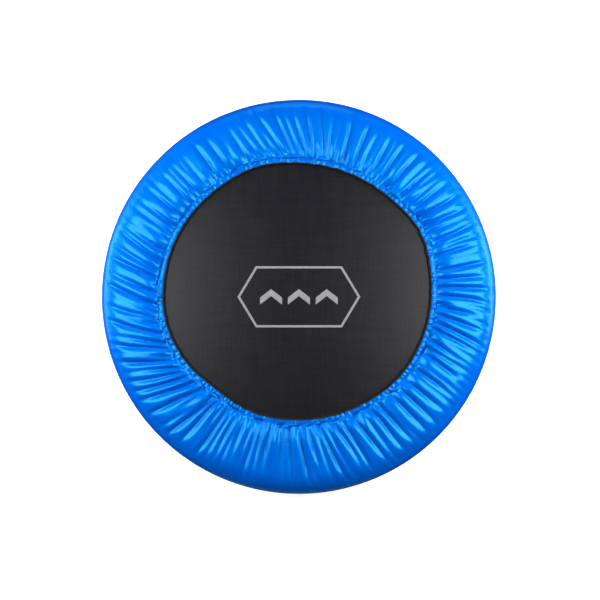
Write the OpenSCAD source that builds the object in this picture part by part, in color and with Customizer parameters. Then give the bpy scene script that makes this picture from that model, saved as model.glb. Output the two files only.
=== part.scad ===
// Mini trampoline (rebounder) of the 38 inch class.
// A one-piece steel ring on six screw-on legs carries a woven jump mat on extension springs.
// A gathered cover with an elastic band in each hem wraps the ring and hides the springs.
// Millimetres, +Z up. The origin is on the floor, at the centre of the ring.

/* [Frame ring] */
// Outside diameter of the steel ring
frame_od = 958; // [900:2:1010]
// Outside diameter of the ring tube
tube_d = 25.4; // [24:0.2:27]
// Wall of the ring tube
tube_wall = 1.5; // [1.2:0.1:2]
// Height of the ring tube's centre line above the floor
ring_z = 204; // [180:1:240]
// Diameter of the drilled holes that the spring hooks drop into
hook_hole_d = 5.2; // [4.6:0.1:6]

/* [Springs] */
// Number of springs, a multiple of the leg count so that no spring meets a leg
spring_count = 36; // [24:6:36]
// Length of a spring over its hooks
spring_length = 90; // [80:1:100]
// Outside diameter of a spring's coil
coil_od = 13.2; // [12.4:0.1:13.6]
// Diameter of the spring wire
spring_wire_d = 2.2; // [2:0.1:2.4]

/* [Jump mat] */
// Thickness of the woven mat
mat_t = 1.6; // [1:0.1:2]
// Width of the webbing that binds the mat's edge
webbing_w = 18; // [16:1:24]
// Width of the V-rings sewn to the mat's edge
v_ring_w = 32; // [31:1:38]
// Height of a V-ring, from its base wire to its apex wire
v_ring_h = 20; // [18:1:24]
// Diameter of the V-ring wire
v_ring_wire_d = 3; // [2.6:0.1:3]
// Width of the webbing loop that holds a V-ring
loop_w = 20; // [16:1:20]

/* [Safety cover] */
// How far the cover's inner edge reaches in over the mat's edge
cover_overlap = 34; // [26:1:40]
// Thickness of the cover's coated fabric
cover_t = 1; // [0.8:0.1:1.2]
// Width of the inner hem
hem_w = 20; // [18:1:22]
// Depth of the skirt below the ring tube's centre line
skirt_drop = 26; // [22:1:30]

/* [Legs] */
// Outside diameter of a leg tube
leg_d = 25.4; // [24:0.2:25.4]
// Wall of a leg tube
leg_wall = 1.2; // [1:0.1:1.5]
// Height of the plastic saddle between a leg and the ring tube
saddle_t = 9; // [7:1:12]
// Diameter of the threaded studs on the ring
stud_d = 10; // [8:1:10]
// Length of stud below the top of a leg
stud_reach = 22; // [20:1:24]
// Diameter of a rubber foot at the floor
foot_d = 31; // [30:0.5:33]
// Height of a rubber foot
foot_h = 38; // [30:1:44]

/* [Hidden] */
$fn = 64;
leg_count = 6;

// Working clearances
slip = 0.05;         // between parts that are pushed together
thread_slip = 0.06;  // between a stud and its nut
pocket_gap = 0.1;    // on each face of an elastic band in its hem

// Joints between straight and bent wire
wire_lap = 0.3;      // how far a straight wire runs into the bend at its end
wire_step = 0.02;    // how much thinner the straight wire is, so that the two surfaces never coincide

// Frame ring
tube_r = tube_d / 2;
ring_r = (frame_od - tube_d) / 2;
tube_bore_r = tube_r - tube_wall;

// Springs lie in the plane of the mat, a little above the ring's centre line
spring_rise = 6;
spring_z = ring_z + spring_rise;
spring_wire_r = spring_wire_d / 2;
coil_r = (coil_od - spring_wire_d) / 2;
hook_inset = 12.5;   // from the ring tube's centre line in to the middle of the frame hook
hook_lead = 6;       // straight wire between a coil and its hook
frame_hook_r = ring_r - hook_inset;
mat_hook_r = frame_hook_r + 2 * (coil_r + spring_wire_r) - spring_length;
frame_hook_end = -20; // angle at which the frame hook's wire ends, inside the tube
mat_hook_end = 300;   // angle at which the mat hook's wire ends, under the V-ring

// The frame hook's circle crosses the middle of the tube wall here, as an angle above the inside of the tube
wall_mid_r = tube_r - tube_wall / 2;
hook_reach = norm([hook_inset, spring_rise]);
hook_crossing = atan2(spring_rise, hook_inset)
  + acos((hook_reach ^ 2 + wall_mid_r ^ 2 - coil_r ^ 2) / (2 * hook_reach * wall_mid_r));
hole_shift = 1;      // the hole sits this far past the wire, so that the wire bears on its inner edge
hook_hole_angle = hook_crossing + hole_shift / wall_mid_r * 180 / PI;

// V-rings hang in the mat hooks
v_wire_r = v_ring_wire_d / 2;
v_bend_r = 4;
v_apex_r = mat_hook_r - coil_r + spring_wire_r + v_wire_r + pocket_gap;
v_base_r = v_apex_r - v_ring_h;

// Mat and its edge
mat_r = v_base_r - 4;
webbing_t = 0.7;
webbing_mid = mat_t / 2 + slip + webbing_t / 2;
loop_t = 1.2;
loop_mid = v_wire_r + pocket_gap + loop_t / 2;
loop_tail_r = mat_r - 12;

// Cover. The path is the middle of the fabric's thickness.
opening_r = mat_r - cover_overlap;
elastic_t = 1.2;
elastic_inner_w = 15;
elastic_outer_w = 11;
hem_gap = elastic_t + 2 * pocket_gap + cover_t;
fold_r = hem_gap / 2;
hem_low_z = spring_z + webbing_mid + webbing_t / 2 + pocket_gap + slip + cover_t + 0.4;
hem_high_z = hem_low_z + hem_gap;
wrap_r = tube_r + 0.8 + cover_t / 2;
panel_z = ring_z + wrap_r;
panel_start_r = v_apex_r - 8;
skirt_in_r = ring_r + wrap_r;
skirt_out_r = skirt_in_r + hem_gap;
skirt_end_z = ring_z - skirt_drop + cover_t / 2 + fold_r;
skirt_hem_h = 13;

// Legs
leg_r = leg_d / 2;
leg_bore_r = leg_r - leg_wall;
leg_top_z = ring_z - tube_r - saddle_t;
plug_flange_t = 3;
plug_len = 20;
plug_end_z = leg_top_z - plug_flange_t - plug_len;
saddle_horn_h = 6;   // how far the saddle climbs the sides of the ring tube
collar_r = 8;
collar_z = leg_top_z + 2;
collar_bite = 1.2;   // how far the collar is let into the tube wall where it is welded
stud_r = stud_d / 2;
nut_af = 17;
nut_h = 8;
nut_z = leg_top_z - plug_flange_t - 14;
foot_floor = 6;

steel_black = "#1b1b1d";
steel_plated = "#c4c6c8";
vinyl_blue = "#0a7df0";
mat_black = "#26262a";
elastic_white = "#e6e6e2";
plastic_black = "#161616";
rubber_black = "#202020";

// ---- Helpers ----

// Points on an arc, from angle a to angle b
function arc(centre, r, a, b, steps = 12) =
  [for (i = [0:steps]) let (t = a + (b - a) * i / steps) centre + r * [cos(t), sin(t)]];

// Unit direction from p to q
function direction(p, q) = (q - p) / norm(q - p);

// Normal at point i of a path: the mean of its two segments' normals, lengthened to keep the thickness
function normal_at(path, i) =
  let (
    last = len(path) - 1,
    d0 = direction(path[max(i - 1, 0)], path[max(i, 1)]),
    d1 = direction(path[min(i, last - 1)], path[min(i + 1, last)]),
    n0 = [-d0.y, d0.x],
    n1 = [-d1.y, d1.x]
  ) (n0 + n1) / (1 + n0 * n1);

// A strip of fabric of thickness t along a path
module ribbon(path, t) {
  side = [for (i = [0:len(path) - 1]) normal_at(path, i) * t / 2];
  polygon(concat(
    [for (i = [0:len(path) - 1]) path[i] + side[i]],
    [for (i = [len(path) - 1:-1:0]) path[i] - side[i]]
  ));
}

// Copies the children to every spring, or to one leg, with +X pointing away from the ring's centre
module at_springs() for (i = [0:spring_count - 1]) rotate((i + 0.5) * 360 / spring_count) children();
module at_leg(i) rotate((i - 1) * 360 / leg_count) translate([ring_r, 0, 0]) children();

// Stands a shape drawn in XY up in the XZ plane
module upright() rotate([90, 0, 0]) children();

// Round wire bent from angle a to angle b around the origin, in the XY plane
module bent_wire(bend_r, wire_r, a, b)
  rotate(a) rotate_extrude(angle = b - a) translate([bend_r, 0]) circle(wire_r);

// Straight round wire along +X, a hair thinner than the bends that its ends run into
module straight_wire(length, wire_r)
  translate([-wire_lap, 0, 0]) rotate([0, 90, 0]) cylinder(h = length + 2 * wire_lap, r = wire_r - wire_step);

// Closed loop of wire around a convex polygon of bend centres, listed anticlockwise
module wire_loop(centres, bend_r, wire_r) {
  n = len(centres);
  for (i = [0:n - 1]) {
    p = centres[i];
    q = centres[(i + 1) % n];
    s = centres[(i + 2) % n];
    a = atan2((q - p).y, (q - p).x);
    b = atan2((s - q).y, (s - q).x);
    translate(p) rotate(a) translate([0, -bend_r]) straight_wire(norm(q - p), wire_r);
    translate(q) bent_wire(bend_r, wire_r, a - 90, (b < a ? b + 360 : b) - 90);
  }
}

module ring_tube(r) rotate_extrude($fn = 180) translate([ring_r, ring_z]) circle(r);

// ---- Frame ----

module frame_ring() color(steel_black)
  difference() {
    rotate_extrude($fn = 180) translate([ring_r, ring_z]) difference() {
      circle(tube_r);
      circle(tube_bore_r);
    }
    at_springs() translate([ring_r, 0, ring_z]) rotate([0, hook_hole_angle - 90, 0])
      translate([0, 0, tube_bore_r - 2]) cylinder(h = tube_wall + 4, d = hook_hole_d);
  }

module leg_studs() color(steel_plated)
  for (i = [1:leg_count]) at_leg(i) {
    translate([0, 0, leg_top_z - stud_reach]) cylinder(h = stud_reach + collar_z - leg_top_z, r = stud_r);
    translate([0, 0, collar_z]) cylinder(h = ring_z - tube_r + collar_bite - collar_z, r = collar_r);
  }

// ---- Springs ----

module spring() {
  coil_start = mat_hook_r + hook_lead;
  coil_len = frame_hook_r - hook_lead - coil_start;
  wall = spring_wire_d + 0.2;
  translate([coil_start, 0, 0]) rotate([0, 90, 0]) difference() {
    cylinder(h = coil_len, r = coil_r + wall / 2);
    translate([0, 0, -1]) cylinder(h = coil_len + 2, r = coil_r - wall / 2);
  }
  for (x = [mat_hook_r, coil_start + coil_len - 1])
    translate([x, 0, coil_r]) straight_wire(hook_lead + 1, spring_wire_r);
  translate([frame_hook_r, 0, 0]) upright() bent_wire(coil_r, spring_wire_r, frame_hook_end, 90);
  translate([mat_hook_r, 0, 0]) upright() bent_wire(coil_r, spring_wire_r, 90, mat_hook_end);
}

module springs() color(steel_plated) at_springs() translate([0, 0, spring_z]) spring();

// ---- Jump mat ----

module jump_mat() color(mat_black)
  translate([0, 0, spring_z - mat_t / 2]) cylinder(h = mat_t, r = mat_r, $fn = 180);

module edge_webbing() color(mat_black)
  rotate_extrude($fn = 180) translate([0, spring_z]) ribbon(
    concat(
      [[mat_r - webbing_w, -webbing_mid]],
      arc([mat_r, 0], webbing_mid, -90, 90),
      [[mat_r - webbing_w, webbing_mid]]
    ), webbing_t);

module webbing_loops() color(mat_black)
  at_springs() translate([0, 0, spring_z]) upright() linear_extrude(loop_w, center = true) difference() {
    loop_outline(loop_tail_r, loop_mid + loop_t / 2);
    loop_outline(loop_tail_r - 1, loop_mid - loop_t / 2);
  }

// The side view of a strap that turns round the V-ring's base wire at radius r and runs back to the given tail
module loop_outline(tail_r, r) {
  translate([v_base_r, 0]) circle(r);
  translate([tail_r, -r]) square([v_base_r - tail_r, 2 * r]);
}

module v_rings() color(steel_plated)
  at_springs() translate([0, 0, spring_z]) wire_loop([
    [v_base_r + v_bend_r, -(v_ring_w / 2 - v_bend_r - v_wire_r)],
    [v_apex_r - v_bend_r, 0],
    [v_base_r + v_bend_r, v_ring_w / 2 - v_bend_r - v_wire_r]
  ], v_bend_r, v_wire_r);

// ---- Cover ----

// From the end of the inner hem, round its fold, out over the springs and the ring, and round the skirt's fold
cover_path = concat(
  [[opening_r + hem_w, hem_low_z]],
  arc([opening_r + fold_r + cover_t / 2, hem_low_z + fold_r], fold_r, 270, 90),
  [[opening_r + hem_w, hem_high_z + 0.3], [panel_start_r, panel_z]],
  arc([ring_r, ring_z], wrap_r, 90, 0),
  [[skirt_out_r, ring_z - 8]],
  arc([skirt_out_r - fold_r, skirt_end_z], fold_r, 0, -180),
  [[skirt_in_r, skirt_end_z + skirt_hem_h]]
);

module safety_cover() color(vinyl_blue) rotate_extrude($fn = 180) ribbon(cover_path, cover_t);

module inner_elastic() color(elastic_white)
  rotate_extrude($fn = 180)
    translate([opening_r + fold_r + cover_t / 2, hem_low_z + cover_t / 2 + pocket_gap])
      square([elastic_inner_w, elastic_t]);

module outer_elastic() color(elastic_white)
  rotate_extrude($fn = 180)
    translate([skirt_in_r + cover_t / 2 + pocket_gap, skirt_end_z])
      square([elastic_t, elastic_outer_w]);

// ---- Legs ----

// Plastic spacer whose top is cut to the underside of the ring tube
module saddle(i) color(plastic_black) difference() {
  at_leg(i) translate([0, 0, leg_top_z]) cylinder(h = saddle_t + saddle_horn_h, r = leg_r);
  ring_tube(tube_r + pocket_gap);
  at_leg(i) {
    translate([0, 0, leg_top_z - 1]) cylinder(h = saddle_t, r = stud_r + 0.3);
    translate([0, 0, collar_z - pocket_gap]) cylinder(h = saddle_t + saddle_horn_h, r = collar_r + 0.15);
  }
}

module leg_tube(i) color(steel_black) at_leg(i) {
  bottom = foot_floor + slip;
  translate([0, 0, bottom]) difference() {
    cylinder(h = leg_top_z - plug_flange_t - bottom, r = leg_r);
    translate([0, 0, -1]) cylinder(h = leg_top_z, r = leg_bore_r);
  }
}

// Plug in the top of a leg, with a hexagonal pocket that keeps the nut from turning
module leg_plug(i) color(plastic_black) at_leg(i) difference() {
  union() {
    translate([0, 0, leg_top_z - plug_flange_t]) cylinder(h = plug_flange_t, r = leg_r);
    translate([0, 0, plug_end_z]) cylinder(h = plug_len + 1, r = leg_bore_r - slip);
  }
  translate([0, 0, plug_end_z - 1]) cylinder(h = plug_len + plug_flange_t + 2, r = stud_r + 0.3);
  translate([0, 0, plug_end_z - 1])
    cylinder(h = nut_z + nut_h + slip - plug_end_z + 1, r = nut_af / 2 / cos(30) + 0.1, $fn = 6);
}

module leg_nut(i) color(steel_plated) at_leg(i) translate([0, 0, nut_z]) difference() {
  cylinder(h = nut_h, r = nut_af / 2 / cos(30), $fn = 6);
  translate([0, 0, -1]) cylinder(h = nut_h + 2, r = stud_r + thread_slip);
}

// Rubber foot: a cup with a flared base and three grip ribs
module foot(i) color(rubber_black) at_leg(i) {
  rim_r = leg_r + 2.2;
  rib = 0.7;
  difference() {
    rotate_extrude() polygon(concat(
      [[0, 0], [foot_d / 2 - 1, 0], [foot_d / 2, 1], [foot_d / 2, 5], [rim_r, 10]],
      [for (k = [0:2], p = [[0, 0], [rib, 1], [rib, 3], [0, 4]]) [rim_r + p.x, 13 + 6 * k + p.y]],
      [[rim_r, foot_h - 1], [rim_r - 1, foot_h], [0, foot_h]]
    ));
    translate([0, 0, foot_floor]) cylinder(h = foot_h, r = leg_r + slip);
  }
}

// ---- Nodes ----

frame_ring();
leg_studs();
springs();
safety_cover();
inner_elastic();
outer_elastic();
jump_mat();
edge_webbing();
webbing_loops();
v_rings();
for (i = [1:leg_count]) {
  saddle(i);
  leg_tube(i);
  leg_plug(i);
  leg_nut(i);
  foot(i);
}
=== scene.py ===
"""Looks for a round mini trampoline: a gathered glossy cover, a woven mat, coil springs and a steel frame.

Metres, +Z up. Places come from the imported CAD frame. Angles go anticlockwise from +X, seen from above.
"""

import math

import bpy
import numpy as np
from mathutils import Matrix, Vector


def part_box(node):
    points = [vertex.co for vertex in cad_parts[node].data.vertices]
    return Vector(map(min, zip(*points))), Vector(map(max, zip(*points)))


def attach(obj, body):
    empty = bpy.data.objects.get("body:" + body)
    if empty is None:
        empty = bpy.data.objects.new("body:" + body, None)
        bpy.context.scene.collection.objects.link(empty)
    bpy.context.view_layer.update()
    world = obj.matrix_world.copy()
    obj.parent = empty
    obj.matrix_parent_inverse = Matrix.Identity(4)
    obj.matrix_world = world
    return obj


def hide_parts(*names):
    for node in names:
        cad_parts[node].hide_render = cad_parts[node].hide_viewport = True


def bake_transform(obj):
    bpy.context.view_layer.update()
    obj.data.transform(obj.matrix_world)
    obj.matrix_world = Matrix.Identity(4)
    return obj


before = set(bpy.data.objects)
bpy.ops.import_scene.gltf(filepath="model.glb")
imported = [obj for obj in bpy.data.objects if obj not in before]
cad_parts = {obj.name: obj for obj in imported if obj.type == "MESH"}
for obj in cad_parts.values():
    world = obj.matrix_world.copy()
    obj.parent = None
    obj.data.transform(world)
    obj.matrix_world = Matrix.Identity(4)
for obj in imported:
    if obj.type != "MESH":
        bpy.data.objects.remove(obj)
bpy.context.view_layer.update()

TAU = 2 * math.pi
MM = 0.001

# ---- Places taken from the CAD frame ----


def corners(node):
    """A node's vertices as an array."""
    return np.array([v.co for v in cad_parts[node].data.vertices])


def radii(node):
    """How near to the ring's axis a node comes, and how far from it."""
    r = np.hypot(*corners(node)[:, :2].T)
    return r.min(), r.max()


def heights(node):
    """A node's lowest and highest z."""
    low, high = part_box(node)
    return low.z, high.z


LEGS = range(1, 7)
SPRINGS = 36

ring_low, ring_high = heights("frame_ring")
TUBE_R = (ring_high - ring_low) / 2
RING_Z = (ring_high + ring_low) / 2
RING_R = radii("frame_ring")[1] - TUBE_R
MAT_BOTTOM, MAT_TOP = heights("jump_mat")
MAT_R = radii("jump_mat")[1]
MAT_Z = (MAT_TOP + MAT_BOTTOM) / 2
COVER_BOTTOM = heights("safety_cover")[0]
OPENING_R = radii("safety_cover")[0]
LEG_ANGLES = [math.atan2(c.y, c.x) for c in (sum(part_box(f"leg_tube_{i}"), Vector()) / 2 for i in LEGS)]
LEG_R = (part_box("leg_tube_1")[1].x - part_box("leg_tube_1")[0].x) / 2
SPRING_ANGLES = [(i + 0.5) * TAU / SPRINGS for i in range(SPRINGS)]

# ---- Mesh helpers ----


def mesh_piece(name, points, faces, material, body=None, smooth=True):
    """A mesh object from arrays of points and faces, riding on a CAD body."""
    mesh = bpy.data.meshes.new(name)
    mesh.from_pydata(np.asarray(points).tolist(), [], [[int(v) for v in face] for face in faces])
    if smooth:
        mesh.shade_smooth()
    mesh.materials.append(material)
    piece = bpy.data.objects.new(name, mesh)
    bpy.context.collection.objects.link(piece)
    if body:
        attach(piece, body)
    return piece


def grid_faces(rows, cols, wrap_rows=False, wrap_cols=False):
    """Quads of a grid of rows x cols points, numbered row by row."""
    index = np.arange(rows * cols).reshape(rows, cols)
    if wrap_rows:
        index = np.vstack([index, index[:1]])
    if wrap_cols:
        index = np.hstack([index, index[:, :1]])
    a, b = index[:-1], index[1:]
    return np.stack([a[:, :-1], a[:, 1:], b[:, 1:], b[:, :-1]], -1).reshape(-1, 4)


def turned(points, angle):
    """Points turned about the ring's axis."""
    c, s = math.cos(angle), math.sin(angle)
    return points @ np.array([[c, s, 0], [-s, c, 0], [0, 0, 1]])


def many(points, faces, angles):
    """Copies of one shape at several angles round the ring, as one mesh."""
    all_points = np.vstack([turned(points, a) for a in angles])
    all_faces = np.vstack([np.asarray(faces) + i * len(points) for i in range(len(angles))])
    return all_points, all_faces


def polar(radius, theta, z):
    """Points from radius, angle and height."""
    radius, theta, z = np.broadcast_arrays(radius, theta, z)
    return np.stack([radius * np.cos(theta), radius * np.sin(theta), z], -1)


def swept_wire(path, radius, sides=8):
    """A round wire along a path of points, with flat ends."""
    path = np.asarray(path, float)
    tangent = np.gradient(path, axis=0)
    tangent /= np.linalg.norm(tangent, axis=1, keepdims=True)
    normal = np.cross(tangent[0], (0.0, 1.0, 0.0))
    if np.linalg.norm(normal) < 0.1:
        normal = np.cross(tangent[0], (0.0, 0.0, 1.0))
    rings = []
    phase = np.arange(sides) * TAU / sides
    for point, t in zip(path, tangent):
        normal = normal - t * (normal @ t)
        normal /= np.linalg.norm(normal)
        across = np.cross(t, normal)
        rings.append(point + radius * (np.outer(np.cos(phase), normal) + np.outer(np.sin(phase), across)))
    points = np.vstack(rings + [path[:1], path[-1:]])
    body = grid_faces(len(path), sides, wrap_cols=True)
    first, last = len(points) - 2, len(points) - 1
    end = (len(path) - 1) * sides
    caps = []
    for k in range(sides):
        nxt = (k + 1) % sides
        caps.append((first, nxt, k, k))
        caps.append((last, end + k, end + nxt, end + nxt))
    faces = [tuple(f) for f in body] + [tuple(dict.fromkeys(c)) for c in caps]
    return points, faces


def arc(centre, radius, start, end, steps=12):
    """Points (along, up) on an arc, from one angle in degrees to another."""
    t = np.radians(np.linspace(start, end, steps + 1))
    return [(centre[0] + radius * math.cos(a), centre[1] + radius * math.sin(a)) for a in t]


def stitches(centres, along, up, length, radius=0.35 * MM):
    """One short capsule of thread per centre, lying along the seam, as points and faces."""
    along = along / np.linalg.norm(along, axis=1, keepdims=True)
    side = np.cross(up, along)
    side /= np.linalg.norm(side, axis=1, keepdims=True)
    up = np.cross(along, side)
    rings, sides = ((-0.5, 0.35), (-0.3, 1.0), (0.3, 1.0), (0.5, 0.35)), 6
    template = []
    for offset, width in rings:
        sink = -0.6 * (1 - width)
        for k in range(sides):
            a = k * TAU / sides
            height = radius * (width * math.sin(a) + sink)
            template.append((offset * length, radius * width * math.cos(a), height))
    template = np.array(template)
    points = (
        centres[:, None]
        + template[None, :, 0, None] * along[:, None]
        + template[None, :, 1, None] * side[:, None]
        + template[None, :, 2, None] * up[:, None]
    )
    body = grid_faces(len(rings), sides, wrap_cols=True).tolist()
    last = (len(rings) - 1) * sides
    one = body + [list(range(sides - 1, -1, -1)), list(range(last, last + sides))]
    faces = []
    for i in range(len(centres)):
        faces += [[v + i * len(template) for v in f] for f in one]
    return points.reshape(-1, 3), faces


# ---- Material helpers ----


def node(tree, kind, inputs=None, **settings):
    """A shader node with its settings, and each input set to a value or linked to a socket."""
    made = tree.nodes.new(kind)
    for key, value in settings.items():
        setattr(made, key, value)
    for key, value in (inputs or {}).items():
        if isinstance(value, bpy.types.NodeSocket):
            tree.links.new(value, made.inputs[key])
        else:
            made.inputs[key].default_value = value
    return made


def principled(name, color, roughness, **inputs):
    """A material with a Principled shader. Returns it with its tree, its shader and its object coordinates."""
    material = bpy.data.materials.new(name)
    material.use_nodes = True
    tree = material.node_tree
    shader = tree.nodes["Principled BSDF"]
    shader.inputs["Base Color"].default_value = (*color, 1)
    shader.inputs["Roughness"].default_value = roughness
    for key, value in inputs.items():
        shader.inputs[key.replace("_", " ")].default_value = value
    place = node(tree, "ShaderNodeTexCoord").outputs["Object"]
    return material, tree, shader, place


def noise(tree, place, scale, detail=3.0, stretch=(1, 1, 1)):
    """Noise at a scale per metre, stretched along the axes."""
    mapped = node(tree, "ShaderNodeMapping", {"Vector": place, "Scale": stretch})
    made = node(tree, "ShaderNodeTexNoise", {"Vector": mapped.outputs["Vector"], "Scale": scale, "Detail": detail})
    return made.outputs["Fac"]


def blend_colors(tree, shader, factor, dark, light, low=0.35, high=0.65):
    """Base colour that runs from dark to light as the factor goes from low to high."""
    share = node(tree, "ShaderNodeMapRange", {"Value": factor, "From Min": low, "From Max": high})
    mix = node(tree, "ShaderNodeMix", {"Factor": share.outputs["Result"]}, data_type="RGBA")
    mix.inputs["A"].default_value = (*dark, 1)
    mix.inputs["B"].default_value = (*light, 1)
    tree.links.new(mix.outputs["Result"], shader.inputs["Base Color"])


def vary_roughness(tree, shader, factor, low, high):
    """Roughness that runs from low to high with the factor."""
    share = node(tree, "ShaderNodeMapRange", {"Value": factor, "To Min": low, "To Max": high})
    tree.links.new(share.outputs["Result"], shader.inputs["Roughness"])


def bump(tree, shader, height, distance, strength=1.0):
    """Bump from a height between 0 and 1, over a distance in metres. Bumps stack."""
    inputs = {"Height": height, "Distance": distance, "Strength": strength}
    if shader.inputs["Normal"].is_linked:
        inputs["Normal"] = shader.inputs["Normal"].links[0].from_socket
    made = node(tree, "ShaderNodeBump", inputs)
    tree.links.new(made.outputs["Normal"], shader.inputs["Normal"])


def math_node(tree, operation, a, b=0.0):
    return node(tree, "ShaderNodeMath", {0: a, 1: b}, operation=operation).outputs[0]


def weave_height(tree, place, pitch):
    """Height of a plain weave of the given thread pitch: each thread goes over one and under the next."""
    split = node(tree, "ShaderNodeSeparateXYZ", {"Vector": place})
    turns = math.pi / pitch
    waves = []
    for axis in ("X", "Y"):
        angle = math_node(tree, "MULTIPLY", split.outputs[axis], turns)
        waves.append(math_node(tree, "SINE", angle))
    both = math_node(tree, "MULTIPLY", waves[0], waves[1])
    return math_node(tree, "MULTIPLY_ADD", both, 0.5)


# ---- Materials ----


def vinyl_material():
    """Glossy blue coated fabric, with faint creases that are too fine to model, and painted shade in its folds, along
    its hem and over its outer edge.
    """
    material, tree, shader, place = principled(
        "blue_vinyl", VINYL_BLUE, 0.2, Specular_IOR_Level=1.0, Coat_Weight=0.15, Coat_Roughness=0.1
    )
    shader.inputs["Specular Tint"].default_value = (0.0, 0.85, 1.0, 1)
    tone = noise(tree, place, 9, 4)
    blend_colors(tree, shader, tone, VINYL_DEEP, VINYL_BLUE)
    # Painted shade: the colour is darkened towards a deep blue where the folds' valleys, the hem and the outer edge
    # would lie in shade.
    painted_shade = node(tree, "ShaderNodeAttribute", attribute_name="painted_shade").outputs["Fac"]
    tone_socket = shader.inputs["Base Color"].links[0].from_socket
    shade = node(tree, "ShaderNodeMix", {"Factor": painted_shade, "A": tone_socket}, data_type="RGBA")
    shade.inputs["B"].default_value = (*VINYL_PAINTED_SHADE, 1)
    tree.links.new(shade.outputs["Result"], shader.inputs["Base Color"])
    vary_roughness(tree, shader, noise(tree, place, 40, 3), 0.19, 0.31)
    bump(tree, shader, noise(tree, place, 110, 2), 0.5 * MM, 0.35)
    bump(tree, shader, noise(tree, place, 1400, 2), 0.05 * MM, 0.3)
    return material


def mat_material():
    """Black woven polypropylene: flat shiny tapes, with threads that vary a little in tone."""
    material, tree, shader, place = principled("woven_mat", (0.01, 0.01, 0.011), 0.4, Specular_IOR_Level=0.28)
    along = noise(tree, place, 60, 2, (0.25, 14, 1))
    across = noise(tree, place, 60, 2, (14, 0.25, 1))
    thread = math_node(tree, "MULTIPLY", math_node(tree, "ADD", along, across), 0.5)
    blend_colors(tree, shader, thread, (0.0035, 0.0035, 0.005), (0.010, 0.010, 0.0135), 0.4, 0.6)
    vary_roughness(tree, shader, thread, 0.24, 0.36)
    bump(tree, shader, weave_height(tree, place, 1.6 * MM), 0.07 * MM, 0.5)
    return material


def print_material():
    """Light grey ink on the mat, worn by the weave under it."""
    material, tree, shader, place = principled("grey_print", (0.27, 0.27, 0.28), 0.55)
    blend_colors(tree, shader, noise(tree, place, 300, 3), (0.22, 0.22, 0.23), (0.31, 0.31, 0.32))
    bump(tree, shader, weave_height(tree, place, 1.6 * MM), 0.2 * MM, 0.5)
    return material


def webbing_material(name, dark, light, rib=500):
    """Woven tape: fine ribs with threads that vary in tone."""
    material, tree, shader, place = principled(name, light, 0.75, Specular_IOR_Level=0.2)
    blend_colors(tree, shader, noise(tree, place, 900, 2), dark, light)
    bump(tree, shader, weave_height(tree, place, 1 / rib), 0.3 * MM, 0.7)
    bump(tree, shader, noise(tree, place, 200, 3), 0.3 * MM, 0.3)
    return material


def thread_material(name, color):
    """Sewing thread, twisted."""
    material, tree, shader, place = principled(name, color, 0.6, Sheen_Weight=0.2)
    darker = tuple(c * 0.7 for c in color)
    blend_colors(tree, shader, noise(tree, place, 1500, 2), darker, color)
    bump(tree, shader, noise(tree, place, 2500, 1), 0.1 * MM, 0.5)
    return material


def powder_coat_material():
    """Black powder coat with a slight orange peel."""
    material, tree, shader, place = principled("powder_coat", (0.014, 0.014, 0.015), 0.38, Coat_Weight=0.15)
    blend_colors(tree, shader, noise(tree, place, 30, 4), (0.011, 0.011, 0.012), (0.018, 0.018, 0.019))
    vary_roughness(tree, shader, noise(tree, place, 80, 3), 0.3, 0.46)
    bump(tree, shader, noise(tree, place, 700, 2), 0.12 * MM, 0.5)
    return material


def plated_material():
    """Zinc plate: bright grey with soft clouds and fine drawing marks."""
    material, tree, shader, place = principled("zinc_plate", (0.6, 0.61, 0.63), 0.3, Metallic=1.0)
    blend_colors(tree, shader, noise(tree, place, 60, 4), (0.46, 0.47, 0.5), (0.68, 0.68, 0.67))
    vary_roughness(tree, shader, noise(tree, place, 240, 3), 0.22, 0.42)
    bump(tree, shader, noise(tree, place, 900, 2, (1, 1, 4)), 0.06 * MM, 0.4)
    return material


def plastic_material():
    """Black moulded plastic with a fine spark-eroded grain."""
    material, tree, shader, place = principled("black_plastic", (0.018, 0.018, 0.019), 0.5)
    blend_colors(tree, shader, noise(tree, place, 90, 3), (0.014, 0.014, 0.015), (0.022, 0.022, 0.023))
    vary_roughness(tree, shader, noise(tree, place, 300, 2), 0.42, 0.6)
    bump(tree, shader, noise(tree, place, 2200, 2), 0.08 * MM, 0.6)
    return material


def rubber_material():
    """Moulded black rubber, a little dusty."""
    material, tree, shader, place = principled("foot_rubber", (0.025, 0.025, 0.025), 0.8, Specular_IOR_Level=0.35)
    blend_colors(tree, shader, noise(tree, place, 120, 5), (0.017, 0.017, 0.018), (0.04, 0.039, 0.037), 0.4, 0.75)
    vary_roughness(tree, shader, noise(tree, place, 200, 3), 0.68, 0.9)
    bump(tree, shader, noise(tree, place, 1500, 3), 0.12 * MM, 0.6)
    return material


VINYL_BLUE = (0.0, 0.133, 0.71)
VINYL_DEEP = (0.0, 0.118, 0.66)
# deep blue that the painted shade in folds, along the hem and over the outer edge runs towards
VINYL_PAINTED_SHADE = (0.0, 0.055, 0.46)

VINYL = vinyl_material()
WOVEN_MAT = mat_material()
PRINT = print_material()
BLACK_WEBBING = webbing_material("black_webbing", (0.010, 0.010, 0.011), (0.022, 0.022, 0.023))
ELASTIC = webbing_material("white_elastic", (0.55, 0.55, 0.52), (0.78, 0.78, 0.75), rib=700)
BLUE_THREAD = thread_material("blue_thread", (0.005, 0.11, 0.5))
BLACK_THREAD = thread_material("black_thread", (0.03, 0.03, 0.032))
POWDER_COAT = powder_coat_material()
ZINC = plated_material()
PLASTIC = plastic_material()
RUBBER = rubber_material()

# ---- Cover ----

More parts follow.
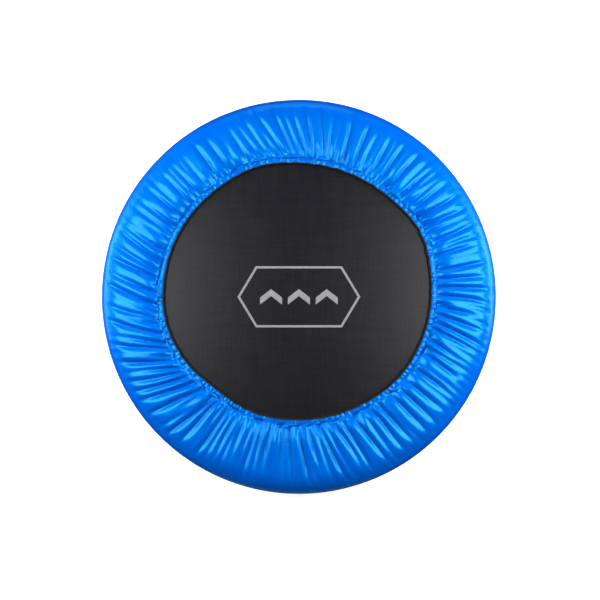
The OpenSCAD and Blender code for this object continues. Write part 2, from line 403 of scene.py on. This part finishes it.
COVER_COLUMNS = 960        # points round the ring
SHEET_STEP = 4 * MM         # fabric between two rows of points
FABRIC_T = 0.7 * MM
HEM_W = 15 * MM             # from the opening's edge to the hem's seam
HEM_LIFT = 4.8 * MM         # the hem hangs this far above the mat
SEAM_LIFT = 8.6 * MM        # and its seam this far
WRAP_R = TUBE_R + 1.3 * MM  # radius of the fabric where it wraps the ring tube
ROLL_R = 458 * MM           # the padding's roll begins here
ROLL_END_R = 482.6 * MM     # and reaches out to here
ROLL_H = 15.4 * MM          # it stands this far above the ring tube's centre
SUPPORT_Z = RING_Z + WRAP_R - 2.4 * MM  # the fabric lies this high where the springs hold it up
GATHER_FROM_R = 462 * MM    # the fabric is a straight strip, gathered everywhere inside this radius
FULLNESS = 1.032            # and this much longer than the circle it has to follow
SKIRT_FOLD_R = 1.4 * MM     # radius of the fold at the skirt's lower edge
ELASTIC_T = 1.1 * MM
ELASTIC_W = 10 * MM
BINDING_EXTRA = 0.6 * MM    # the black binding, which also paints the shadow line under the hem's lip, is this much thicker than the fabric
BINDING_ROWS = slice(6, 12)  # the rows of the hem that turn round its lip
CREASE_SHADE = 0.42         # how far the deepest fold valley is darkened towards the painted shade colour
CREASE_DEPTH = 3 * MM       # a fold valley this deep gets the full painted shade
RIM_SHADE = 0.75            # the same painted shade for the outer edge, where the cover turns down
RIM_SHADE_R = 470 * MM      # the rim's shade begins at this radius
RIM_SHADE_W = 7 * MM        # and is full this much further out
# painted shade along the hem
HEM_SHADE = 0.28
CREASE_WIDTH = 120          # smoothing passes round the ring that a fold valley's depth is measured against
theta = np.arange(COVER_COLUMNS) * TAU / COVER_COLUMNS


def angle_from(angles, centre):
    """Signed angle from a centre to each angle."""
    return (angles - centre + math.pi) % TAU - math.pi


def opening_edge(angles):
    """Radius of the cover's opening: a little oval, off centre towards +Y, with soft corners the elastic leaves."""
    oval = 6.3 * np.cos(2 * angles) - 2.8 * np.cos(angles) + 12.4 * np.sin(angles)
    edge = OPENING_R + (0.9 + oval) * MM
    for degrees, push in ((28, 9), (108, 6), (188, 4), (228, -9), (320, 2)):
        near = angle_from(angles, math.radians(degrees)) / math.radians(14)
        edge = edge + push * MM * np.exp(-(near**2))
    return edge


def twist(angles):
    """How far the elastic drags the opening round, as an angle, so that the folds run slanted in places."""
    drag = np.zeros_like(angles)
    for degrees, turn in ((98, -3), (164, 2), (188, 3), (214, 2), (283, -2.5), (345, 2.5)):
        near = angle_from(angles, math.radians(degrees)) / math.radians(20)
        drag = drag + math.radians(turn) * np.exp(-(near**2))
    return drag


def gather_edge(angles):
    """Radius inside which the fabric is gathered. The cover is pulled smooth further in at two places."""
    edge = GATHER_FROM_R + 5 * MM * np.cos(2 * angles)
    for degrees, ease in ((126, 15), (262, 18)):
        near = angle_from(angles, math.radians(degrees)) / math.radians(16)
        edge = edge - ease * MM * np.exp(-(near**2))
    return edge


def puckers(low, high, seed):
    """A wavy line round the ring with low to high waves a turn, of unit size."""
    rng = np.random.default_rng(seed)
    wave = np.zeros(COVER_COLUMNS)
    for count in rng.choice(np.arange(low, high), 40, replace=False):
        wave += rng.uniform(0.5, 1.0) * np.cos(count * theta + rng.uniform(0, TAU))
    return wave / wave.std()


def pull_together(x, weight, rows, cols, rest, stiffness):
    """One pass over the links from each point to the one rows out and cols round, in sets that share no point."""
    count = x.shape[1]
    columns = np.arange(count)
    if rows:
        sets = [(np.arange(p, len(x) - rows, 2 * rows), columns) for p in range(2 * rows)]
    else:
        sets = [(np.arange(len(x)), columns[columns // cols % 2 == p]) for p in range(2)]
    for row, col in sets:
        here = np.ix_(row, col)
        there = np.ix_(row + rows, (col + cols) % count)
        a, b = x[here], x[there]
        wa, wb = weight[here], weight[there]
        step = b - a
        length = np.sqrt((step * step).sum(-1, keepdims=True)) + 1e-9
        step *= stiffness * (1 - rest[here] / length) / (wa + wb + 1e-9)
        x[here] = a + wa * step
        x[there] = b - wb * step


def gather(x, rest_round, rest_out, pinned, steps=60, passes=8):
    """Cloth simulation: lets a sheet that is too long round the ring buckle into folds on top of its support."""
    weight = np.where(pinned, 0.0, 1.0)[..., None].astype(x.dtype)
    rest_skew = np.sqrt(rest_round**2 + rest_out**2)
    rest_two = rest_round + np.roll(rest_round, -1, 1)
    before = x.copy()
    for _ in range(steps):
        drift = 0.9 * (x - before) * weight
        before = x.copy()
        x += drift
        x[..., 2] += 5e-5 * weight[..., 0]
        for _ in range(passes):
            pull_together(x, weight, 0, 2, rest_two, 0.15)
            pull_together(x, weight, 0, 1, rest_round, 0.9)
            pull_together(x, weight, 1, 0, rest_out, 1.0)
            pull_together(x, weight, 2, 0, 2 * rest_out, 0.15)
            pull_together(x, weight, 1, 1, rest_skew, 0.3)
            pull_together(x, weight, 1, -1, rest_skew, 0.3)
            rest_on_support(x, pinned)
    return x


def rest_on_support(x, pinned):
    """Keeps the sheet above the mat, the springs and the ring tube, and below a loose ceiling."""
    r = np.hypot(x[..., 0], x[..., 1])
    inner_z = MAT_TOP + SEAM_LIFT - 1.5 * MM
    low = inner_z + np.clip((r - MAT_R) / (20 * MM), 0, 1) * (SUPPORT_Z - inner_z)
    low = np.where(r > ROLL_R - 40 * MM, roll_height(r), low)
    z = np.where(x[..., 2] < low, low, x[..., 2])
    reach = SHEET_STEP * np.arange(len(x))[:, None]
    high = np.minimum(SUPPORT_Z + 12 * MM, MAT_TOP + SEAM_LIFT + 2 * MM + 0.3 * reach)
    z = np.where(z > high, (z + high) / 2, z)
    x[..., 2] = np.where(pinned, x[..., 2], z)


def smoothed(values, times, axis):
    """Values averaged with their neighbours along one axis, the first and last rows kept."""
    for _ in range(times):
        if axis == 1:
            values = (values + np.roll(values, 1, 1) + np.roll(values, -1, 1)) / 3
        else:
            values = values.copy()
            values[1:-1] = (values[1:-1] + values[:-2] + values[2:]) / 3
    return values


def roll_height(radius):
    """Height of the padded roll over the ring tube. It dips on the inside and bulges a little past the tube."""
    out = np.maximum(radius - ROLL_R, 0) / (ROLL_END_R - ROLL_R)
    inside = np.clip((ROLL_R - radius) / (40 * MM), 0, 1)
    return RING_Z + ROLL_H * np.sqrt(np.maximum(1 - out**2, 0)) - (RING_Z + ROLL_H - SUPPORT_Z) * inside


def gathered_sheet():
    """The cover's top, from the hem's seam out over the ring tube, as rows of points."""
    inner = opening_edge(theta) + HEM_W
    flat = ROLL_R - inner.mean()
    turns = np.radians(np.linspace(0, 84, 12))
    around = ROLL_R + (ROLL_END_R - ROLL_R) * np.sin(turns)
    rows = round(flat / SHEET_STEP) + 1
    share = np.linspace(0, 1, rows)[:, None]
    radius = np.vstack([inner * (1 - share) + ROLL_R * share, np.repeat(around[1:, None], COVER_COLUMNS, 1)])
    seam_z = MAT_TOP + SEAM_LIFT + 0.7 * MM * puckers(140, 230, 11)
    z = roll_height(radius)
    z[:rows] = seam_z * (1 - share) + z[:rows] * share
    pull = np.clip((ROLL_R - radius) / flat, 0, 1)
    x = polar(radius, theta + twist(theta) * pull, z)
    rest_round = np.maximum(radius, gather_edge(theta)) * (FULLNESS + 0.01 * np.cos(2 * theta))
    rest_round = (rest_round * TAU / COVER_COLUMNS)[..., None]
    gaps = np.linalg.norm(np.diff(x, axis=0), axis=-1)
    rest_out = np.vstack([gaps, gaps[-1:]])[..., None]
    rng = np.random.default_rng(4)
    rough = smoothed(smoothed(rng.standard_normal(radius.shape), 8, 1), 60, 0)
    fade = np.clip((GATHER_FROM_R + 4 * MM - radius) / (50 * MM), 0, 1)
    x[..., 2] += 1.5 * MM * rough / rough.std() * fade
    pinned = radius > RING_R + 6 * MM
    pinned[0] = True
    x = gather(x, rest_round, rest_out, pinned, steps=60)
    return np.stack([smoothed(smoothed(x[..., k], 3, 1), 1, 0) for k in range(3)], -1)


def hem_rows(seam):
    """The inner hem, from the end of its lower layer, round the opening's edge and up to the seam's row."""
    edge = opening_edge(theta) + 0.35 * MM * puckers(40, 90, 21)
    fine, coarse = puckers(150, 240, 22), puckers(90, 150, 23)
    seam_z = seam[:, 2]
    low = MAT_TOP + HEM_LIFT
    rows = []
    for across in np.linspace(1, 0.12, 7):
        z = low + (seam_z - 1.3 * MM - low) * np.clip(across * 4 - 3, 0, 1)
        rows.append(polar(edge + across * HEM_W, theta, z))
    top = low + 3.4 * MM
    middle, half = (low + top) / 2, (top - low) / 2
    for turn in np.radians((225, 190, 150, 115)):
        swell = 0.25 * MM * fine * max(math.sin(turn), 0)
        rows.append(polar(edge + half * (1 + math.cos(turn)), theta, middle + half * math.sin(turn) + swell))
    for across in np.linspace(0.2, 0.94, 7):
        crown = math.sin(math.pi * across)
        ripple = (0.22 * fine + 0.32 * coarse) * MM * (0.35 + 0.65 * crown)
        height = top + 0.5 * MM * crown + ripple
        sink = np.clip(across * 3 - 2, 0, 1) ** 2
        rows.append(polar(edge + across * HEM_W, theta, height * (1 - sink) + seam_z * sink))
    return rows


def skirt_rows(last):
    """The skirt, from the last row over the ring down to its elastic hem and up inside it."""
    start = np.hypot(last[:, 0], last[:, 1])
    start_z = last[:, 2]
    hem_top, hem_bottom = RING_Z - 14 * MM, COVER_BOTTOM
    tuck = RING_R + 7 * MM + 0 * theta
    for leg in LEG_ANGLES:
        near = angle_from(theta, leg) * RING_R / (24 * MM)
        around = RING_R + LEG_R + 2.6 * MM
        tuck = np.maximum(tuck, RING_R + 7 * MM + (around - RING_R - 7 * MM) * np.exp(-(near**4)))
    tuck = smoothed(tuck[None], 8, 1)[0]
    wide, fine = puckers(70, 130, 31), puckers(170, 260, 32)
    bulge = ROLL_END_R + 0.6 * MM
    rows = []
    for t in np.linspace(0, 1, 9)[1:]:
        radius = (1 - t) ** 2 * start + 2 * t * (1 - t) * bulge + t**2 * (tuck + SKIRT_FOLD_R)
        z = (1 - t) * start_z + t * hem_top
        rows.append(polar(radius + 0.75 * MM * wide * t**1.5, theta, z))
    for t in np.linspace(0, 1, 6)[1:]:
        swell = 1.1 * MM * math.sin(math.pi * t) + (0.5 * wide + 0.45 * fine) * MM * (1 - 0.4 * t)
        z = hem_top + (hem_bottom + SKIRT_FOLD_R - hem_top) * t
        rows.append(polar(tuck + SKIRT_FOLD_R + swell - 1.5 * MM * t, theta, z))
    for turn in np.radians((-45, -90, -135)):
        z = hem_bottom + SKIRT_FOLD_R * (1 + math.sin(turn))
        rows.append(polar(tuck - 0.8 * MM + SKIRT_FOLD_R * math.cos(turn), theta, z))
    for t in np.linspace(0.15, 1, 5):
        z = hem_bottom + SKIRT_FOLD_R + (hem_top - hem_bottom - SKIRT_FOLD_R) * t
        rows.append(polar(tuck - 2.2 * MM, theta, z))
    return rows


def make_cover():
    """The gathered cover as one continuous sheet, its seam's thread, and the elastic in both hems."""
    sheet = gathered_sheet()
    hem = hem_rows(sheet[0])
    rows = hem + list(sheet) + skirt_rows(sheet[-1])
    grid = np.array(rows)
    faces = grid_faces(*grid.shape[:2], wrap_cols=True)
    cover = mesh_piece("gathered_cover", grid.reshape(-1, 3), faces, VINYL, "frame")
    # painted shade in the folds, along the hem and over the outer edge
    paint_fold_shade(cover, grid, len(hem))
    thick = cover.modifiers.new("thickness", "SOLIDIFY")
    thick.thickness = FABRIC_T
    thick.offset = -1
    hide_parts("safety_cover")
    make_seam(grid[len(hem)])
    # black tape round the hem's lip, partly a painted shadow line between the hem and the mat
    make_binding_painted_shadow(grid[BINDING_ROWS])
    inner = opening_edge(theta) + 2.6 * MM
    inner_z = MAT_TOP + HEM_LIFT + ELASTIC_T
    make_elastic("inner_hem_elastic", "inner_elastic", inner, ELASTIC_W, ELASTIC_T, inner_z)
    outer = np.hypot(*rows[-1][:, :2].T) + 0.9 * MM
    outer_z = COVER_BOTTOM + 1.6 * MM
    make_elastic("outer_hem_elastic", "outer_elastic", outer, ELASTIC_T, ELASTIC_W, outer_z)
    return cover


def paint_fold_shade(cover, grid, hem_count):
    """Stores painted shade for the vinyl: how far it is darkened in the creases, along the hem and over the outer edge.
    """
    height = grid[..., 2]
    depth = smoothed(height, CREASE_WIDTH, 1) - height
    share = CREASE_SHADE * np.clip(depth / CREASE_DEPTH, 0, 1)
    radius = np.hypot(grid[..., 0], grid[..., 1])
    rim = np.clip((radius - RIM_SHADE_R) / RIM_SHADE_W, 0, 1)
    share = np.maximum(share, RIM_SHADE * rim)
    share[:hem_count] = np.maximum(share[:hem_count], HEM_SHADE)
    # the painted shade goes to the vinyl as a point attribute
    painted_shade = cover.data.attributes.new("painted_shade", "FLOAT", "POINT")
    painted_shade.data.foreach_set("value", share.ravel().astype(np.float32))


def make_binding_painted_shadow(lip):
    """A narrow black tape folded round the lip of the inner hem. It is partly a painted shadow: the dark line where the
    hem's lip shades the mat.
    """
    faces = grid_faces(*lip.shape[:2], wrap_cols=True)
    tape = mesh_piece("hem_binding_painted_shadow", lip.reshape(-1, 3), faces, BLACK_WEBBING, "frame")
    thick = tape.modifiers.new("thickness", "SOLIDIFY")
    thick.thickness = FABRIC_T + BINDING_EXTRA
    thick.offset = -1


def make_seam(line):
    """The seam's stitches, one beside the next along the hem."""
    centre = (line + np.roll(line, -1, 0)) / 2
    along = np.roll(line, -2, 0) - np.roll(line, 1, 0)
    keep = slice(0, COVER_COLUMNS, 2)
    up = np.tile((0.0, 0.0, 1.0), (len(line), 1))
    points, faces = stitches((centre + 0.45 * MM * up)[keep], along[keep], up[keep], 2.9 * MM, 0.4 * MM)
    mesh_piece("cover_seam", points, faces, BLUE_THREAD, "frame")


def make_elastic(name, replaced, radius, width, height, z):
    """A flat band inside a hem, of one width and height, starting at a radius that may vary round the ring."""
    section = ((0, 0), (width, 0), (width, height), (0, height))
    grid = np.array([polar(radius + dr, theta, z + dz) for dr, dz in section])[:, ::3]
    faces = grid_faces(*grid.shape[:2], wrap_rows=True, wrap_cols=True)
    band = mesh_piece(name, grid.reshape(-1, 3), faces, ELASTIC, "frame", smooth=False)
    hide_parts(replaced)


make_cover()

# ---- Jump mat ----

MARK_Z = MAT_TOP + 0.12 * MM


def make_mat():
    """The woven disc, drawn into very slight scallops between the V-rings."""
    turns = np.arange(360) * TAU / 360
    scallop = 0.8 * MM * np.cos(SPRINGS * (turns - SPRING_ANGLES[0]))
    inner = np.linspace(0.02, 1, 26)
    rows = []
    for share in inner:
        edge = MAT_R - 0.9 * MM + scallop * share**6
        rows.append(polar(edge * share, turns, MAT_TOP - 0.05 * MM + 0 * turns))
    rim = MAT_R - 0.3 * MM + scallop
    rows.append(polar(rim, turns, MAT_Z + 0.4 * MM))
    rows.append(polar(rim, turns, MAT_Z - 0.4 * MM))
    for share in inner[::-1]:
        edge = MAT_R - 0.9 * MM + scallop * share**6
        rows.append(polar(edge * share, turns, MAT_BOTTOM + 0.05 * MM + 0 * turns))
    grid = np.array(rows)
    faces = grid_faces(*grid.shape[:2], wrap_cols=True).tolist()
    count = grid.shape[1]
    last = (len(rows) - 1) * count
    faces += [list(range(count)), list(range(last + count - 1, last - 1, -1))]
    points = grid.reshape(-1, 3)
    mat = mesh_piece("woven_jump_mat", points, faces, WOVEN_MAT, "mat")
    mark_sharp(mat)
    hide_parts("jump_mat")


def mark_sharp(piece, degrees=40):
    """Keeps the edges sharper than an angle crisp in the shading."""
    piece.data.set_sharp_from_angle(angle=math.radians(degrees))


def outline(points, width):
    """A closed line of the given width round a polygon, as flat points and faces."""
    points = np.asarray(points, float)
    before, after = np.roll(points, 1, 0), np.roll(points, -1, 0)
    d0 = (points - before) / np.linalg.norm(points - before, axis=1, keepdims=True)
    d1 = (after - points) / np.linalg.norm(after - points, axis=1, keepdims=True)
    n0, n1 = np.stack([-d0[:, 1], d0[:, 0]], -1), np.stack([-d1[:, 1], d1[:, 0]], -1)
    miter = (n0 + n1) / (1 + (n0 * n1).sum(1, keepdims=True))
    rings = np.array([points + miter * width / 2, points - miter * width / 2])
    return rings.reshape(-1, 2), grid_faces(2, len(points), wrap_cols=True)


def make_mark():
    """A plain printed mark: a long hexagon round three chevrons that point up the mat."""
    half_w, half_h, line = 147 * MM, 72 * MM, 5.5 * MM
    shapes = [outline([(half_w, 0), (half_w - half_h * 0.6, half_h), (half_h * 0.6 - half_w, half_h),
                       (-half_w, 0), (half_h * 0.6 - half_w, -half_h), (half_w - half_h * 0.6, -half_h)], line)]
    wide, rise, thick = 27 * MM, 21 * MM, 17 * MM
    for centre in (-68 * MM, 0, 68 * MM):
        top = 19 * MM
        left = [(centre - wide, top - rise), (centre, top), (centre, top - thick), (centre - wide, top - rise - thick)]
        right = [(centre + wide, top - rise), (centre + wide, top - rise - thick), (centre, top - thick), (centre, top)]
        for quad in (left, right):
            shapes.append((np.array(quad), np.array([[0, 3, 2, 1]])))
    points, faces = [], []
    for flat, quads in shapes:
        base = sum(len(p) for p in points)
        points.append(np.column_stack([flat, np.full(len(flat), MARK_Z)]))
        faces += (np.asarray(quads) + base).tolist()
    mark = mesh_piece("printed_mark", np.vstack(points), faces, PRINT, "mat", smooth=False)
    film = mark.modifiers.new("film", "SOLIDIFY")
    film.thickness = 0.1 * MM
    film.offset = 1


make_mat()
make_mark()

# ---- Mat edge ----

TAPE_T = 0.8 * MM


def make_edge_tape():
    """The tape that binds the mat's edge, folded over it, with a row of stitches by each of its edges."""
    low, high = heights("edge_webbing")
    inner, outer = radii("edge_webbing")
    turns = np.arange(720) * TAU / 720
    half = (high - low) / 2 - TAPE_T / 2
    ripple = 0.12 * MM * np.cos(SPRINGS * 4 * turns) + 0.1 * MM * np.sin(97 * turns)
    fold = [(outer - half - TAPE_T / 2 + dx, dz) for dx, dz in arc((0, 0), half, -90, 90, 8)]
    path = [(inner, -half), ((inner + MAT_R) / 2, -half)] + fold + [((inner + MAT_R) / 2, half), (inner, half)]
    grid = np.array([polar(r, turns, MAT_Z + z + ripple * (1 if z > 0 else -1)) for r, z in path])
    faces = grid_faces(*grid.shape[:2], wrap_cols=True)
    tape = mesh_piece("mat_edge_tape", grid.reshape(-1, 3), faces, BLACK_WEBBING, "mat")
    thick = tape.modifiers.new("thickness", "SOLIDIFY")
    thick.thickness = TAPE_T
    thick.offset = 0
    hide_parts("edge_webbing")
    points, faces = [], []
    for radius in (inner + 2.2 * MM, MAT_R - 3 * MM):
        for side in (1, -1):
            count = round(TAU * radius / (4.2 * MM))
            at = np.arange(count) * TAU / count
            centre = polar(radius, at, MAT_Z + side * (half + TAPE_T / 2 + 0.15 * MM))
            along = polar(1.0, at + math.pi / 2, 0.0)
            up = np.tile((0.0, 0.0, float(side)), (count, 1))
            p, f = stitches(centre, along, up, 3.1 * MM)
            faces += [[v + sum(map(len, points)) for v in face] for face in f]
            points.append(p)
    mesh_piece("mat_edge_stitches", np.vstack(points), faces, BLACK_THREAD, "mat")


def make_loops():
    """The webbing loops that hold the V-rings, each sewn through the mat with a boxed row of stitches."""
    low, high = heights("webbing_loops")
    inner, outer = radii("webbing_loops")
    width, thick = 20 * MM, 1.3 * MM
    half = (high - low) / 2 - thick / 2
    turn_x = outer - half - thick / 2 - 0.5 * MM
    path = [(inner + 0.6 * MM, -half + 0.2 * MM), (inner + 9 * MM, -half)]
    path += arc((turn_x, 0), half, -90, 90, 10)
    path += [(inner + 9 * MM, half), (inner + 0.6 * MM, half - 0.2 * MM)]
    across = np.linspace(-1, 1, 9)
    bulge = [1 + 0.06 * math.cos(y * 2.2) for y in across]
    grid = np.array([[(x, y * width / 2, MAT_Z + z * b) for y, b in zip(across, bulge)] for x, z in path])
    points, faces = many(grid.reshape(-1, 3), grid_faces(*grid.shape[:2]), SPRING_ANGLES)
    loops = mesh_piece("v_ring_loops", points, faces, BLACK_WEBBING, "mat")
    solid = loops.modifiers.new("thickness", "SOLIDIFY")
    solid.thickness = thick
    solid.offset = 0
    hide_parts("webbing_loops")
    make_loop_stitches(inner, half + thick / 2, width)


def make_loop_stitches(inner, lift, width):
    """Each loop's sewn box: two rows along it and two across, on both faces."""
    pitch, inset, reach = 2.6 * MM, 2.6 * MM, 9.5 * MM
    spots = []
    for y in (-(width / 2 - inset), width / 2 - inset):
        spots += [((inner + inset + k * pitch, y), (1, 0)) for k in range(int(reach / pitch) + 1)]
    for x in (inner + inset, inner + inset + reach):
        spots += [((x, y), (0, 1)) for y in np.arange(-(width / 2 - inset) + pitch / 2, width / 2 - inset, pitch)]
    centre, along, up = [], [], []
    for side in (1, -1):
        for (x, y), (dx, dy) in spots:
            centre.append((x, y, MAT_Z + side * (lift + 0.18 * MM)))
            along.append((dx, dy, 0))
            up.append((0, 0, side))
    points, faces = stitches(np.array(centre), np.array(along, float), np.array(up, float), 2.0 * MM, 0.32 * MM)
    every, turned_faces = [], []
    for i, angle in enumerate(SPRING_ANGLES):
        every.append(turned(points, angle))
        turned_faces += [[v + i * len(points) for v in f] for f in faces]
    mesh_piece("loop_stitches", np.vstack(every), turned_faces, BLACK_THREAD, "mat")


make_edge_tape()
make_loops()

# ---- Springs ----


def make_springs():
    """Each spring is wound wire with a hook at both ends, and stretches between the ring and its V-ring."""
    low, high = heights("springs")
    inner, outer = radii("springs")
    wire = 1.1 * MM
    coil_r = (high - low) / 2 - 0.1 * MM - wire
    z = (high + low) / 2
    mat_hook = inner + coil_r + wire
    frame_hook = RING_R - 12.5 * MM
    lead = 6 * MM
    coil_start, coil_end = mat_hook + lead, frame_hook - lead
    turns = round((coil_end - coil_start) / (2.65 * MM))
    per_turn = 14
    t = np.arange(turns * per_turn + 1) / (turns * per_turn)
    spin = t * turns * TAU
    coil = np.stack([coil_start + t * (coil_end - coil_start), coil_r * np.sin(spin), coil_r * np.cos(spin)], -1)
    mat_end = [(x, 0, h) for x, h in reversed(arc((mat_hook, 0), coil_r, 90, 300, 14))]
    frame_end = [(x, 0, h) for x, h in reversed(arc((frame_hook, 0), coil_r, -20, 90, 9))]
    path = np.array(mat_end + [(mat_hook + lead / 2, 0, coil_r)] + coil.tolist()
                    + [(frame_hook - lead / 2, 0, coil_r)] + frame_end)
    path[:, 2] += z
    points, faces = swept_wire(path, wire)
    for i, angle in enumerate(SPRING_ANGLES):
        spring = mesh_piece(f"spring_{i + 1:02d}", turned(points, angle), faces, ZINC)
        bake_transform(spring)
        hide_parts("springs")


make_springs()

# ---- Finishes of the CAD nodes ----


def finish(material, *nodes):
    """Gives CAD nodes a material."""
    for name in nodes:
        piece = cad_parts[name]
        piece.data.materials.clear()
        piece.data.materials.append(material)


finish(POWDER_COAT, "frame_ring", *(f"leg_tube_{i}" for i in LEGS))
finish(ZINC, "leg_studs", "v_rings", *(f"leg_nut_{i}" for i in LEGS))
finish(PLASTIC, *(f"saddle_{i}" for i in LEGS), *(f"leg_plug_{i}" for i in LEGS))
finish(RUBBER, *(f"foot_{i}" for i in LEGS))

# ---- Stage, lights and camera ----


def make_floor():
    """A plain pale floor. The camera sees it brighter than it lights the trampoline, as paper lit from behind."""
    material, tree, shader, place = principled("studio_floor", (0.8, 0.8, 0.8), 0.9, Specular_IOR_Level=0.1)
    seen = node(tree, "ShaderNodeLightPath").outputs["Is Camera Ray"]
    speck = math_node(tree, "MULTIPLY", noise(tree, place, 2, 2), 0.02)
    blend_colors(tree, shader, math_node(tree, "ADD", seen, speck), (0.12, 0.2, 0.3), (0.8, 0.8, 0.8), 0, 1)
    glow = math_node(tree, "MULTIPLY", seen, 0.6)
    shader.inputs["Emission Color"].default_value = (1, 1, 1, 1)
    tree.links.new(glow, shader.inputs["Emission Strength"])
    size = 12
    corners_ = [(x * size, y * size, -0.5 * MM) for x, y in ((-1, -1), (1, -1), (1, 1), (-1, 1))]
    floor = mesh_piece("floor", corners_, [(0, 1, 2, 3)], material)


def softbox(name, place, target, size, power, diffuse=True, glossy=True):
    """A rectangular soft light that points at a spot on the trampoline. It may shade only, or only mirror."""
    light = bpy.data.lights.new(name, "AREA")
    light.shape = "RECTANGLE"
    light.size, light.size_y = size
    light.energy = power
    lamp = bpy.data.objects.new(name, light)
    lamp.location = place
    lamp.rotation_euler = (Vector(target) - Vector(place)).to_track_quat("-Z", "Y").to_euler()
    lamp.visible_camera = False
    lamp.visible_diffuse = diffuse
    lamp.visible_glossy = glossy
    bpy.context.collection.objects.link(lamp)


def make_lights():
    """Softboxes that mirror in the vinyl on either side of a dark gap, others that shade it, and a dim sky."""
    softbox("left_mirror", (-1.3, 0.08, 2.5), (-0.1, 0.08, RING_Z), (1.25, 1.3), 30, diffuse=False)
    softbox("right_mirror", (1.3, 0.08, 2.5), (0.1, 0.08, RING_Z), (1.25, 1.3), 33, diffuse=False)
    softbox("left_side", (-1.5, 0.5, 0.8), (-0.1, 0.0, RING_Z), (0.9, 0.7), 38, glossy=False)
    softbox("right_side", (1.5, 0.5, 0.8), (0.1, 0.0, RING_Z), (0.9, 0.7), 40, glossy=False)
    softbox("top_fill", (0.0, 0.4, 2.4), (0.0, 0.0, RING_Z), (1.6, 1.6), 13, glossy=False)
    softbox("low_left", (-2.3, 0.2, 0.95), (-0.3, 0.0, RING_Z), (1.4, 0.8), 10)
    softbox("low_right", (2.3, 0.2, 0.95), (0.3, 0.0, RING_Z), (1.4, 0.8), 12)
    softbox("back", (0.0, 2.6, 1.3), (0.0, 0.2, RING_Z), (1.4, 0.7), 3)
    softbox("legs", (0.0, -2.4, 0.16), (0.0, 0.0, 0.1), (2.4, 0.25), 3)
    world = bpy.data.worlds.new("studio")
    bpy.context.scene.world = world
    world.use_nodes = True
    tree = world.node_tree
    background = tree.nodes["Background"]
    sky = node(tree, "ShaderNodeSeparateXYZ", {"Vector": node(tree, "ShaderNodeTexCoord").outputs["Generated"]})
    climb = node(tree, "ShaderNodeMapRange", {"Value": sky.outputs["Z"], "From Min": 0.1, "From Max": 0.8})
    mix = node(tree, "ShaderNodeMix", {"Factor": climb.outputs["Result"]}, data_type="RGBA")
    mix.inputs["A"].default_value = (0.3, 0.65, 1.0, 1)
    mix.inputs["B"].default_value = (0.03, 0.03, 0.03, 1)
    tree.links.new(mix.outputs["Result"], background.inputs["Color"])
    seen = node(tree, "ShaderNodeLightPath").outputs["Is Camera Ray"]
    strength = node(tree, "ShaderNodeMapRange", {"Value": seen, "To Min": 0.15, "To Max": 1.0})
    tree.links.new(strength.outputs["Result"], background.inputs["Strength"])
    backdrop = node(tree, "ShaderNodeMix", {"Factor": seen, "A": mix.outputs["Result"]}, data_type="RGBA")
    backdrop.inputs["B"].default_value = (0.7, 0.71, 0.72, 1)
    tree.links.new(backdrop.outputs["Result"], background.inputs["Color"])


def make_camera():
    """Straight down on the trampoline. +Y is up in the picture."""
    camera = bpy.data.cameras.new("camera")
    distance, seen_width = 1.8, 1.472
    camera.lens = camera.sensor_width * distance / seen_width
    view = bpy.data.objects.new("camera", camera)
    view.location = (2.7 * MM, -7.8 * MM, RING_Z + distance)
    bpy.context.collection.objects.link(view)
    bpy.context.scene.camera = view


make_floor()
make_lights()
make_camera()
bpy.context.scene.view_settings.view_transform = "Standard"
